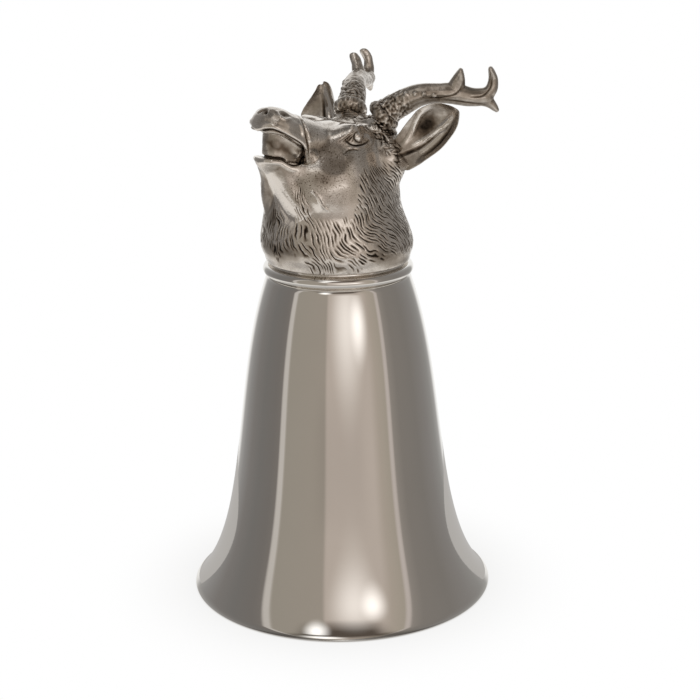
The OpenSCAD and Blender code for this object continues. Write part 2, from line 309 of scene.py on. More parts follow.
def along_path(points: np.ndarray, path: np.ndarray) -> tuple[np.ndarray, np.ndarray]:
    """Measures points against a path.

    Args:
        points: Points, one to a row.
        path: Points of the path, one to a row.

    Returns:
        Each point's distance from the path, and how far along it from 0 to 1.
    """
    lengths = np.linalg.norm(np.diff(path, axis=0), axis=1)
    starts = np.concatenate([[0], np.cumsum(lengths)])
    gap = np.full(len(points), np.inf)
    place = np.zeros(len(points))
    for here, there, start, length in zip(path, path[1:], starts, lengths):
        way = there - here
        t = np.clip((points - here) @ way / max(way @ way, 1e-12), 0, 1)
        distance = np.linalg.norm(points - here - t[:, None] * way, axis=1)
        nearer = distance < gap
        gap[nearer] = distance[nearer]
        place[nearer] = start + t[nearer] * length
    return gap, place / max(starts[-1], 1e-12)


@dataclass(frozen=True)
class PhotoCamera:
    """Camera of the photograph, with angles in degrees and lengths in millimetres.

    Azimuth 0 looks along +Y at the stag's face, and the shift is the cup's axis off the frame's middle.
    """

    azimuth: float = 52.0
    reach: float = 426.5
    height: float = 198.7
    pitch: float = 17.233
    roll: float = 0.653
    focal_px: float = 1653.0
    shift_px: float = 11.2
    frame_px: float = 700.0
    sensor: float = 36.0

    def eye(self) -> np.ndarray:
        """Returns the camera's place in millimetres."""
        a = math.radians(self.azimuth)
        return np.array([self.reach * math.sin(a), -self.reach * math.cos(a), self.height])

    def axes(self) -> tuple[np.ndarray, np.ndarray, np.ndarray]:
        """Returns the unit vectors to the right, up and forward of the view."""
        a = math.radians(self.azimuth) - math.atan2(self.shift_px, self.focal_px)
        p = math.radians(self.pitch)
        r = math.radians(self.roll)
        forward = np.array([-math.sin(a) * math.cos(p), math.cos(a) * math.cos(p), -math.sin(p)])
        level = np.array([math.cos(a), math.sin(a), 0.0])
        upright = np.cross(level, forward)
        right = math.cos(r) * level - math.sin(r) * upright
        up = math.sin(r) * level + math.cos(r) * upright
        return right, up, forward

    def pixels(self, points: np.ndarray) -> np.ndarray:
        """Finds where points fall in the photograph.

        Args:
            points: Points in millimetres, one to a row.

        Returns:
            Pixels across and down, one to a row.
        """
        right, up, forward = self.axes()
        ways = points - self.eye()
        depth = ways @ forward
        half = self.frame_px / 2
        across = half + self.focal_px * (ways @ right) / depth
        down = half - self.focal_px * (ways @ up) / depth
        return np.stack([across, down], axis=1)

    def build(self) -> bpy.types.Object:
        """Adds the camera to the scene and makes it the active one.

        Returns:
            The camera object.
        """
        right, up, forward = (Vector(axis) for axis in self.axes())
        data = bpy.data.cameras.new("photo_camera")
        data.sensor_width = self.sensor
        data.lens = self.focal_px / self.frame_px * self.sensor
        data.clip_start = 0.01
        camera = bpy.data.objects.new("photo_camera", data)
        turn = Matrix((right, up, -forward)).transposed().to_4x4()
        camera.matrix_world = Matrix.Translation(Vector(self.eye()) * MM) @ turn
        bpy.context.scene.collection.objects.link(camera)
        bpy.context.scene.camera = camera
        return camera


@dataclass(frozen=True)
class Lamp:
    """A square softbox, placed by its angles from the camera's side of the cup. Lengths are in metres."""

    name: str
    turn: float
    rise: float
    distance: float
    width: float
    glow: float

    def build(self, azimuth: float, target: Vector) -> bpy.types.Object:
        """Adds the lamp, facing the cup.

        Args:
            azimuth: The camera's azimuth in degrees.
            target: Point in metres that the lamp faces.

        Returns:
            The lamp object.
        """
        a = math.radians(azimuth + self.turn)
        e = math.radians(self.rise)
        way = Vector((math.sin(a) * math.cos(e), -math.cos(a) * math.cos(e), math.sin(e)))
        data = bpy.data.lights.new(self.name, "AREA")
        data.size = self.width
        data.energy = self.glow * math.pi * self.width ** 2
        self.soften(data)
        lamp = bpy.data.objects.new(self.name, data)
        lamp.location = target + way * self.distance
        lamp.rotation_euler = (-way).to_track_quat("-Z", "Y").to_euler()
        lamp.visible_camera = False
        bpy.context.scene.collection.objects.link(lamp)
        return lamp

    @staticmethod
    def soften(data: bpy.types.Light) -> None:
        """Fades a lamp towards its edges, as the cloth of a softbox does."""
        add = node_adder(data)
        place = add("NewGeometry").outputs["Parametric"]
        away = add("VectorMath", {0: place, 1: (0.5, 0.5, 0.0)}, operation="DISTANCE")
        fade = add("MapRange", {"Value": away, "From Min": 0.0, "From Max": 0.5, "To Min": 1.0,
                                "To Max": 0.0}, interpolation_type="SMOOTHSTEP")
        cloth = add("Emission", {"Strength": fade})
        add("OutputLight", {"Surface": cloth})


@dataclass
class Studio:
    """White floor and backdrop, softboxes, and the tan room that polished metal mirrors.

    Lengths are in metres.
    """

    azimuth: float
    # Floor: its radius, its paper, the shadow on it and what metal sees of it
    floor_r: float = 0.12
    paper: str = "#e9e7e4"
    shadow: str = "#cfcdca"
    shadow_reach: float = 0.03
    floor_mirrored: str = "#c0bebc"
    # Table and backdrop in mirrors, and where each begins and is full, as part of a unit direction
    table: str = "#eeece9"
    table_edge: Pair = (-0.34, -0.5)
    backdrop: str = "#fdfdfc"
    backdrop_edge: Pair = (0.8, 0.93)
    # Light that matt surfaces get from all round, and the height that the lamps face
    ambient: float = 0.8
    aim_z: float = 0.07
    lamps: tuple[Lamp, ...] = (
        Lamp("right_softbox", 26, 12.8, 0.312, 0.15, 0.75),
        Lamp("broad_softbox", 10, 14, 0.34, 0.32, 0.5),
        Lamp("left_softbox", -23.5, 41, 0.9, 0.36, 1.5),
        Lamp("top_softbox", -27, 66, 0.8, 0.45, 1.6),
    )
    # What a mirror sees round the room: degrees from the camera's side, and the colour there
    room: tuple[tuple[float, str], ...] = (
        (-180, "#fdfdfc"), (-160, "#f2f1f0"), (-150, "#b0afae"), (-135, "#969594"), (-118, "#84817f"),
        (-100, "#7b7977"), (-81, "#7b7774"), (-73, "#807b77"), (-71, "#cbc6c1"), (-66, "#cbc6c1"),
        (-64, "#a29c92"), (-18, "#a69e94"), (-15, "#c4b9b0"), (36, "#c4b9b0"), (44, "#b5aba0"),
        (55, "#ada599"), (57, "#c7beb9"), (60, "#c7beb9"), (62, "#96908a"), (72, "#88837e"),
        (97, "#84807c"), (118, "#8c8987"), (135, "#979694"), (150, "#b0afae"), (160, "#f2f1f0"),
        (180, "#fdfdfc"),
    )
    # What dims it, by degrees of elevation, and how far aside that begins and is full
    upward: tuple[tuple[float, str], ...] = (
        (-13, "#d7d7d7"), (-8, "#f4f4f4"), (0, "#ffffff"), (36, "#ffffff"), (40, "#c2c0be"),
        (46, "#78736e"), (60, "#78736e"), (72, "#c8c6c3"), (90, "#ffffff"),
    )
    upward_edge: Pair = (0.55, 0.3)

    def build(self) -> None:
        """Builds the world, the lamps and the floor."""
        self.build_world()
        for lamp in self.lamps:
            lamp.build(self.azimuth, Vector((0, 0, self.aim_z)))
        self.build_floor()

    def build_world(self) -> None:
        """Sets a world that is white to the camera, even to matt surfaces, and a room to metal."""
        world = bpy.data.worlds.new("studio_room")
        bpy.context.scene.world = world
        add = node_adder(world)
        place = add("TexCoord").outputs["Generated"]
        turned = add("VectorRotate", {"Vector": place, "Angle": -math.radians(self.azimuth)},
                     rotation_type="Z_AXIS")
        parts = add("SeparateXYZ", {0: turned}).outputs
        front = add("Math", {0: parts["Y"], 1: -1.0}, operation="MULTIPLY")
        angle = add("Math", {0: parts["X"], 1: front}, operation="ARCTAN2")
        share = add("MapRange", {"Value": angle, "From Min": -math.pi, "From Max": math.pi})
        room = add("ValToRGB", {0: share})
        set_stops(room, tuple(((degrees + 180) / 360, linear(tone)) for degrees, tone in self.room))
        rise = add("Math", {0: parts["Z"]}, operation="ARCSINE")
        level = add("MapRange", {"Value": rise, "From Min": -math.pi / 2, "From Max": math.pi / 2})
        ceiling = add("ValToRGB", {0: level})
        set_stops(ceiling, tuple(((degrees + 90) / 180, linear(tone)) for degrees, tone in self.upward))
        aside = add("Math", {0: parts["X"]}, operation="ABSOLUTE")
        ahead = add("MapRange", {"Value": aside, "From Min": self.upward_edge[0],
                                 "From Max": self.upward_edge[1]}, interpolation_type="SMOOTHSTEP")
        dimmed = add("Mix", {"Factor": ahead, "A": room, "B": ceiling}, data_type="RGBA",
                     blend_type="MULTIPLY")
        behind = add("MapRange", {"Value": parts["Y"], "From Min": self.backdrop_edge[0],
                                  "From Max": self.backdrop_edge[1]}, interpolation_type="SMOOTHSTEP")
        below = add("MapRange", {"Value": parts["Z"], "From Min": self.table_edge[0],
                                 "From Max": self.table_edge[1]}, interpolation_type="SMOOTHSTEP")
        table = add("Mix", {"Factor": below, "A": dimmed, "B": linear(self.table)}, data_type="RGBA")
        mirrored = add("Mix", {"Factor": behind, "A": table, "B": linear(self.backdrop)},
                       data_type="RGBA")
        light = add("LightPath").outputs
        even = [self.ambient, self.ambient, self.ambient, 1.0]
        seen = add("Mix", {"Factor": light["Is Glossy Ray"], "A": even, "B": mirrored}, data_type="RGBA")
        clear = add("Math", {0: light["Is Camera Ray"], 1: light["Is Transmission Ray"]},
                    operation="MAXIMUM")
        final = add("Mix", {"Factor": clear, "A": seen, "B": linear("#ffffff")}, data_type="RGBA")
        glow = add("Background", {"Color": final})
        add("OutputWorld", {"Surface": glow})

    def build_floor(self) -> bpy.types.Object:
        """Adds the floor, white to the eye and to metal, with the cup's soft shadow.

        Returns:
            The staged floor.
        """
        deselect()
        bpy.ops.mesh.primitive_circle_add(vertices=96, radius=self.floor_r, fill_type="NGON")
        floor = bpy.context.object
        floor.name = "studio_floor"
        paper = bpy.data.materials.new("white studio paper")
        add = node_adder(paper)
        shade = add("AmbientOcclusion", {"Distance": self.shadow_reach}, samples=16)
        tone = add("Mix", {"Factor": shade.outputs["AO"], "A": linear(self.shadow),
                           "B": linear("#ffffff")}, data_type="RGBA")
        light = add("LightPath").outputs
        mirrored = add("Mix", {"Factor": light["Is Glossy Ray"], "A": tone,
                               "B": linear(self.floor_mirrored)}, data_type="RGBA")
        bright = add("Emission", {"Color": mirrored})
        matt = add("BsdfDiffuse", {"Color": linear(self.paper)})
        metal = add("Math", {0: light["Is Camera Ray"], 1: light["Is Glossy Ray"]}, operation="MAXIMUM")
        seen = add("Math", {0: metal, 1: light["Is Transmission Ray"]}, operation="MAXIMUM")
        mixed = add("MixShader", {0: seen, 1: matt, 2: bright})
        add("OutputMaterial", {"Surface": mixed})
        floor.data.materials.append(paper)
        return floor


@dataclass(frozen=True)
class MirrorPlate:
    """Nickel-silver plate, spun and buffed to a mirror."""

    tint: str = "#e8e5e1"
    worn_tint: str = "#e2dfda"
    roughness: Pair = (0.03, 0.07)
    wipe_mm: float = 14.0
    buff_mm: float = 0.5
    # Lines of noise that are drawn out level, so that they run round the axis
    buff_draw: Point = (0.02, 0.02, 1.0)
    buff_bump: float = 0.012

    def build(self) -> bpy.types.Material:
        """Builds the material.

        Returns:
            A warm grey mirror with faint buffing lines round the axis and hazy wiped patches.
        """
        material = bpy.data.materials.new("buffed nickel-silver plate")
        add = node_adder(material)
        place = add("TexCoord").outputs["Object"]
        wipes = add("TexNoise", {"Vector": place, "Scale": 1 / (self.wipe_mm * MM), "Detail": 4.0})
        haze = add("MapRange", {"Value": wipes, "From Min": 0.35, "From Max": 0.7,
                                "To Min": self.roughness[0], "To Max": self.roughness[1]})
        tone = add("Mix", {"Factor": wipes, "A": linear(self.tint), "B": linear(self.worn_tint)},
                   data_type="RGBA")
        rings = add("Mapping", {"Vector": place, "Scale": self.buff_draw})
        lines = add("TexNoise", {"Vector": rings, "Scale": 1 / (self.buff_mm * MM), "Detail": 2.0})
        bump = add("Bump", {"Height": lines, "Strength": self.buff_bump, "Distance": 0.1 * MM})
        metal = add("BsdfPrincipled", {"Base Color": tone, "Metallic": 1.0, "Roughness": haze,
                                       "Normal": bump})
        add("OutputMaterial", {"Surface": metal})
        return material


@dataclass(frozen=True)
class AntiquedPewter:
    """Cast pewter, darkened with acid and rubbed bright on its high places."""

    rubbed: str = "#e2dbd3"
    grey: str = "#b0a79c"
    brown: str = "#6f6255"
    black: str = "#251f1a"
    cloud_mm: float = 5.0
    grain_mm: float = 0.45
    pit_mm: float = 1.1
    spot_mm: float = 0.34

    def build(self) -> bpy.types.Material:
        """Builds the material.

        Returns:
            A grey metal with dark brown in its grooves, cloudy patches, small pits and a fine grain.
        """
        material = bpy.data.materials.new("antiqued cast pewter")
        add = node_adder(material)
        place = add("TexCoord").outputs["Object"]
        # This attribute carries the patina, and with it painted highlights, a painted reflection and
        # painted shade
        patina_and_painted_light = add("Attribute", attribute_name="patina_and_painted_light")
        clouds = add("TexNoise", {"Vector": place, "Scale": 1 / (self.cloud_mm * MM), "Detail": 6.0,
                                  "Roughness": 0.65})
        drift = add("MapRange", {"Value": clouds, "From Min": 0.3, "From Max": 0.75, "To Min": -0.1,
                                 "To Max": 0.26})
        speckle = add("Attribute", attribute_name="speckle")
        spots = add("TexNoise", {"Vector": place, "Scale": 1 / (self.spot_mm * MM), "Detail": 2.0})
        dots = add("MapRange", {"Value": spots, "From Min": 0.55, "From Max": 0.72, "To Min": 0.0,
                                "To Max": 0.55})
        dusted = add("Math", {0: dots, 1: speckle.outputs["Fac"], 2: patina_and_painted_light.outputs["Fac"]},
                     operation="MULTIPLY_ADD")
        depth = add("Math", {0: dusted, 1: drift}, operation="ADD")
        tone = add("ValToRGB", {0: depth})
        set_stops(tone, ((0.0, linear(self.rubbed)), (0.3, linear(self.grey)), (0.65, linear(self.brown)),
                         (1.0, linear(self.black))))
        gloss = add("MapRange", {"Value": depth, "From Min": -0.35, "From Max": 0.8, "To Min": 0.13,
                                 "To Max": 0.44})
        grain = add("TexNoise", {"Vector": place, "Scale": 1 / (self.grain_mm * MM), "Detail": 3.0})
        pits = add("TexVoronoi", {"Vector": place, "Scale": 1 / (self.pit_mm * MM)})
        pitted = add("MapRange", {"Value": pits, "From Min": 0.06, "From Max": 0.3, "To Min": -1.0,
                                  "To Max": 0.0})
        height = add("Math", {0: grain, 1: pitted}, operation="ADD")
        bump = add("Bump", {"Height": height, "Strength": 0.16, "Distance": 0.12 * MM})
        metal = add("BsdfPrincipled", {"Base Color": tone, "Metallic": 1.0, "Roughness": gloss,
                                       "Normal": bump})
        add("OutputMaterial", {"Surface": metal})
        return material


@dataclass(frozen=True)
class TurnedBrass:
    """Brass rod, turned on a lathe and left from the tool."""

    tint: str = "#c9a55c"
    dull_tint: str = "#a8843f"
    dull_mm: float = 4.0
    feed_mm: float = 0.3
    # Units between the rings of a wave texture at scale 1
    ring_step: float = 0.314
    roughness: float = 0.28

    def build(self) -> bpy.types.Material:
        """Builds the material.

        Returns:
            A yellow metal with fine turning rings and slightly dull patches.
        """
        material = bpy.data.materials.new("turned brass")
        add = node_adder(material)
        place = add("TexCoord").outputs["Object"]
        dull = add("TexNoise", {"Vector": place, "Scale": 1 / (self.dull_mm * MM), "Detail": 4.0})
        tone = add("Mix", {"Factor": dull, "A": linear(self.tint), "B": linear(self.dull_tint)},
                   data_type="RGBA")
        rings = add("TexWave", {"Vector": place, "Scale": self.ring_step / (self.feed_mm * MM)},
                    bands_direction="Z")
        bump = add("Bump", {"Height": rings.outputs["Fac"], "Strength": 0.2, "Distance": 0.03 * MM})
        metal = add("BsdfPrincipled", {"Base Color": tone, "Metallic": 1.0, "Roughness": self.roughness,
                                       "Normal": bump})
        add("OutputMaterial", {"Surface": metal})
        return material


@dataclass
class Bell:
    """Spun bell that stands mouth down. Sizes are in millimetres, leans in degrees."""

    waist_d: float = 53.4
    waist_h: float = 50.0
    shoulder_d: float = 38.0
    flare_lean: float = 42.0
    shoulder_lean: float = 20.0
    waist_lean: float = 7.0
    top_pull: float = 12.0
    waist_pull_up: float = 14.0
    waist_pull_down: float = 22.0
    rim_pull: float = 14.0
    sheet: float = 1.2
    edge_r: float = 0.45
    fine: int = 44
    turns: int = 168

    @staticmethod
    def bezier(points: list[np.ndarray], t: float) -> np.ndarray:
        """Returns the point at t, from 0 to 1, on a cubic curve."""
        a, b, c, d = points
        return (1 - t) ** 3 * a + 3 * t * (1 - t) ** 2 * b + 3 * t * t * (1 - t) * c + t ** 3 * d

    @staticmethod
    def down(lean: float) -> np.ndarray:
        """Returns the direction down the outline at a lean from upright, in degrees."""
        return np.array([math.sin(math.radians(lean)), -math.cos(math.radians(lean))])

    def outside(self) -> list[np.ndarray]:
        """Returns the outline of the outside, closed end to rim, as radius and height."""
        low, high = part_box("bell_cup")
        top = np.array([self.shoulder_d / 2, high[2] / MM])
        waist = np.array([self.waist_d / 2, self.waist_h])
        rim = np.array([high[0] / MM, low[2] / MM])
        upper = [top, top + self.top_pull * self.down(self.shoulder_lean),
                 waist - self.waist_pull_up * self.down(self.waist_lean), waist]
        lower = [waist, waist + self.waist_pull_down * self.down(self.waist_lean),
                 rim - self.rim_pull * self.down(self.flare_lean), rim]
        shares = np.arange(self.fine) / self.fine
        return ([self.bezier(upper, t) for t in shares] + [self.bezier(lower, t) for t in shares] + [rim])

    def outline(self) -> list[tuple[float, float]]:
        """Returns the closed outline of the wall: outside, rounded rim, inside and closed end."""
        outer = self.outside()
        top = outer[0][1]
        inner = []
        for before, here, after in zip(outer, outer[1:], outer[2:]):
            way = (after - before) / np.linalg.norm(after - before)
            point = here + self.sheet * np.array([way[1], -way[0]])
            if self.edge_r < point[1] < top - 2 * self.sheet:
                inner.append(point)
        rim = outer[-1]
        outer = [p for p in outer if p[1] > self.edge_r]
        rounded = [np.array([rim[0] - self.edge_r * (1 - math.cos(a)), self.edge_r * (1 - math.sin(a))])
                   for a in np.linspace(0, math.pi / 2, 6)]
        land = np.array([rim[0] - self.sheet / math.cos(math.radians(self.flare_lean)), 0.0])
        closed = [np.array([0.0, top]), np.array([outer[0][0] - self.edge_r, top])]
        cap = [np.array([inner[0][0], top - self.sheet]), np.array([0.0, top - self.sheet])]
        points = closed + outer[1:] + rounded + [land] + inner[::-1] + cap
        return [(float(p[0]), float(p[1])) for p in points]

    def build(self, plate: bpy.types.Material) -> None:
        """Spins the bell and dresses it.

        Args:
            plate: Finish of the bell.
        """
        dress(spun("polished_bell", self.outline(), self.turns), plate, Slot.PLATE, "bell_cup")


@dataclass
class Collar:
    """Half-round collar with the step that the neck stands on. Sizes are in millimetres."""

    bead_h: float = 2.9
    step_d: float = 35.6
    bore_d: float = 19.2
    fillet: float = 0.25
    turns: int = 160

    def build(self, plate: bpy.types.Material) -> None:
        """Spins the collar and dresses it.

        Args:
            plate: Finish of the collar.
        """
        low, high = (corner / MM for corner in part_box("collar_ring"))
        bead = self.bead_h / 2
        middle = high[0] - bead
        outline = [(self.bore_d / 2, low[2])]
        outline += [(middle + bead * math.cos(a), low[2] + bead + bead * math.sin(a))
                    for a in np.linspace(-math.pi / 2, math.pi / 2, 25)]
        step_z = low[2] + self.bead_h
        outline += [(self.step_d / 2 + self.fillet, step_z), (self.step_d / 2, step_z + self.fillet),
                    (self.step_d / 2, high[2]), (self.bore_d / 2, high[2]), (self.bore_d / 2, low[2])]
        dress(spun("polished_collar", outline, self.turns), plate, Slot.PLATE, "collar_ring")


@dataclass(frozen=True)
class Stroke:
    """One stroke of a round-nosed tool: its path and half width in marks, and its height in millimetres.

    A negative rise cuts, and a negative dark lightens the colour, as rubbed patina and, in the strokes
    marked so, as a painted highlight. Taper is how gently the ends fade, 0 for not at all, and a curved
    path bends smoothly through its points.
    """

    path: Path | np.ndarray
    width: float
    rise: float = 0.0
    dark: float = 0.0
    taper: float = 0.5
    curved: bool = True


@dataclass(frozen=True)
class Spot:
    """One oval spot: its middle, half length and half width in marks, and its turn in degrees clockwise.

    Rise and dark are as a stroke's.
    """

    at: Pair
    size: Pair
    turn: float = 0.0
    rise: float = 0.0
    dark: float = 0.0


@dataclass(frozen=True)
class Roughness:
    """Lumps of modelling wax: size and greatest height in millimetres, and the patina between them."""

    grain: float
    rise: float
    dark: float


class Relief:
    """Raises and cuts a cast skin by listed strokes, and keeps how dark the patina, with painted highlights
    and shade, lies in them.

    The marks that strokes are placed by are the photograph's pixels on the stag's left, and its right
    mirrors them. A piece with marks of its own, such as an ear, has them in millimetres instead.
    """

    def __init__(self, piece: bpy.types.Object, camera: PhotoCamera) -> None:
        """Reads a piece's skin.

        Args:
            piece: Piece that is worked.
            camera: Camera that the strokes are placed through.
        """
        self.piece = piece
        self.co = read_points(piece)
        self.normals = read_normals(piece)
        count = len(self.co)
        mirror = np.ones((count, 3))
        mirror[self.co[:, 0] < 0, 0] = -1
        self.left = self.co * mirror
        ways = camera.eye() - self.left
        facing = np.sum(self.normals * mirror * ways, axis=1) / np.linalg.norm(ways, axis=1)
        # Strokes fade on skin that turns away from the camera
        self.seen = ramp(facing, -1 / 3, 0)
        self.marks = camera.pixels(self.left)
        self.lift = np.zeros(count)
        self.patina_and_painted_light = np.zeros(count)
        self.speckle = np.zeros(count)

    def near(self, low: np.ndarray, high: np.ndarray) -> np.ndarray:
        """Returns the numbers of the points that can be worked inside a box of marks."""
        inside = np.all((self.marks > low) & (self.marks < high), axis=1) & (self.seen > 0)
        return np.flatnonzero(inside)

    def work(self, *forms: Stroke | Spot) -> None:
        """Works strokes and spots into the skin, in order.

        Args:
            forms: The strokes and spots.
        """
        for form in forms:
            chosen, push = self.stroke(form) if isinstance(form, Stroke) else self.spot(form)
            self.lift[chosen] += form.rise * push
            self.patina_and_painted_light[chosen] += form.dark * push

    def stroke(self, stroke: Stroke) -> tuple[np.ndarray, np.ndarray]:
        """Finds where a stroke presses.

        Args:
            stroke: The stroke.

        Returns:
            Numbers of the points under it, and how strongly it presses each, from 0 to 1.
        """
        path = curve_through(stroke.path) if stroke.curved else np.asarray(stroke.path, float)
        chosen = self.near(path.min(0) - stroke.width, path.max(0) + stroke.width)
        gap, place = along_path(self.marks[chosen], path)
        push = np.clip(1 - (gap / stroke.width) ** 2, 0, 1) ** 2 * self.seen[chosen]
        if stroke.taper:
            push *= np.clip(np.sin(np.pi * np.clip(place, 0.001, 0.999)), 0, 1) ** stroke.taper
        return chosen, push

    def spot(self, spot: Spot) -> tuple[np.ndarray, np.ndarray]:
        """Finds where a spot presses.

        Args:
            spot: The spot.

        Returns:
            Numbers of the points under it, and how strongly it presses each, from 0 to 1.
        """
        centre = np.asarray(spot.at, float)
        chosen = self.near(centre - max(spot.size), centre + max(spot.size))
        away = self.marks[chosen] - centre
        c, s = math.cos(math.radians(spot.turn)), math.sin(math.radians(spot.turn))
        long = (away[:, 0] * c + away[:, 1] * s) / spot.size[0]
        wide = (away[:, 1] * c - away[:, 0] * s) / spot.size[1]
        return chosen, np.clip(1 - long ** 2 - wide ** 2, 0, 1) ** 2 * self.seen[chosen]

    def lumps(self, grain: float, chosen: np.ndarray) -> np.ndarray:
        """Finds smooth noise over part of the skin.

        Args:
            grain: Size of a lump in millimetres.
            chosen: Numbers of the points that are wanted.

        Returns:
            Noise of about -1 to 1 at each point.
        """
        return np.array([noise.noise(Vector(point / grain)) for point in self.co[chosen]])

    def roughen(self, strength: np.ndarray, skin: Roughness) -> None:
        """Roughens the skin with lumps, as modelling wax is.

        Args:
            strength: How strongly each point of the skin is roughened, 0 to 1.
            skin: The lumps.
        """
        chosen = np.flatnonzero(strength > 0.01)
        lump = self.lumps(skin.grain, chosen) * strength[chosen]
        self.lift[chosen] += skin.rise * lump
        self.patina_and_painted_light[chosen] -= skin.dark * lump

    def finish(self, hollow_gain: float) -> None:
        """Moves the skin and stores its patina, with the painted highlights, reflection and shade mixed in,
        and the patina also gathers in every hollow.

        Args:
            hollow_gain: Patina for each 1/mm of hollow curvature.
        """
        mesh = self.piece.data
        moved = self.co + self.normals * self.lift[:, None]
        write_points(self.piece, moved)
        normals = read_normals(self.piece)
        edges = np.empty(len(mesh.edges) * 2, np.int32)
        mesh.edges.foreach_get("vertices", edges)
        first, second = edges.reshape(-1, 2).T
        count = len(moved)
        ways = moved[second] - moved[first]
        square = np.sum(ways ** 2, axis=1)
        bend = np.zeros(count)
        links = np.zeros(count)
        np.add.at(bend, first, 2 * np.sum(ways * normals[first], axis=1) / square)
        np.add.at(bend, second, -2 * np.sum(ways * normals[second], axis=1) / square)
        np.add.at(links, first, 1)
        np.add.at(links, second, 1)
        bend /= np.maximum(links, 1)
        for _ in range(2):
            total = np.zeros(count)
            np.add.at(total, first, bend[second])
            np.add.at(total, second, bend[first])
            bend = 0.5 * bend + 0.5 * total / np.maximum(links, 1)
        patina_and_painted_light = self.patina_and_painted_light + hollow_gain * np.clip(bend, -0.5, 2.5)
        for name, values in (("patina_and_painted_light", patina_and_painted_light), ("speckle", self.speckle)):
            layer = mesh.attributes.new(name, "FLOAT", "POINT")
            layer.data.foreach_set("value", values.astype(np.float32))
        mesh.shade_smooth()


def solid_copy(node: str, name: str) -> bpy.types.Object:
    """Copies a CAD solid, with the seams between its faces closed.

    Args:
        node: CAD node that is copied.
        name: Name of the new piece.

    Returns:
        The new piece.
    """
    piece = bpy.data.objects.new(name, frame["nodes"][node].data.copy())
    bpy.context.scene.collection.objects.link(piece)
    activate(piece)
    bpy.ops.object.mode_set(mode="EDIT")
    bpy.ops.mesh.select_all(action="SELECT")
    bpy.ops.mesh.remove_doubles(threshold=WELD)
    bpy.ops.object.mode_set(mode="OBJECT")
    return piece


def add_eggs(piece: bpy.types.Object, size: Point, *places: Point) -> None:
    """Joins egg-shaped lumps of metal to a piece.

    Args:
        piece: Object that is changed.
        size: Half the length of an egg along each axis, in millimetres.
        places: Middle of each egg in millimetres.
    """
    for place in places:
        deselect()
        bpy.ops.mesh.primitive_uv_sphere_add(segments=24, ring_count=14, radius=MM,
                                             location=Vector(place) * MM)
        lump = bpy.context.object
        lump.scale = size
        bpy.ops.object.transform_apply(location=True, rotation=True, scale=True)
        activate(piece)
        lump.select_set(True)
        bpy.ops.object.join()


def even_skin(piece: bpy.types.Object, voxel: float, passes: int) -> None:
    """Turns a piece into one fine, even skin with soft edges.

    Args:
        piece: Object that is changed.
        voxel: Size of the skin's cells in millimetres.
        passes: Smoothing passes.
    """
    apply_modifier(piece, "REMESH", mode="VOXEL", voxel_size=voxel * MM)
    apply_modifier(piece, "SMOOTH", factor=0.5, iterations=passes)


def drop_crumbs(piece: bpy.types.Object) -> None:
    """Deletes the loose crumbs that a remesh can leave, and keeps what joins the lowest point.

    Args:
        piece: Object that is changed.
    """
    activate(piece)
    bpy.ops.object.mode_set(mode="EDIT")
    bpy.ops.mesh.select_mode(type="VERT")
    bpy.ops.mesh.select_all(action="DESELECT")
    bpy.ops.object.mode_set(mode="OBJECT")
    min(piece.data.vertices, key=lambda vertex: vertex.co.z).select = True
    bpy.ops.object.mode_set(mode="EDIT")
    bpy.ops.mesh.select_linked()
    bpy.ops.mesh.select_all(action="INVERT")
    bpy.ops.mesh.delete(type="VERT")
    bpy.ops.object.mode_set(mode="OBJECT")


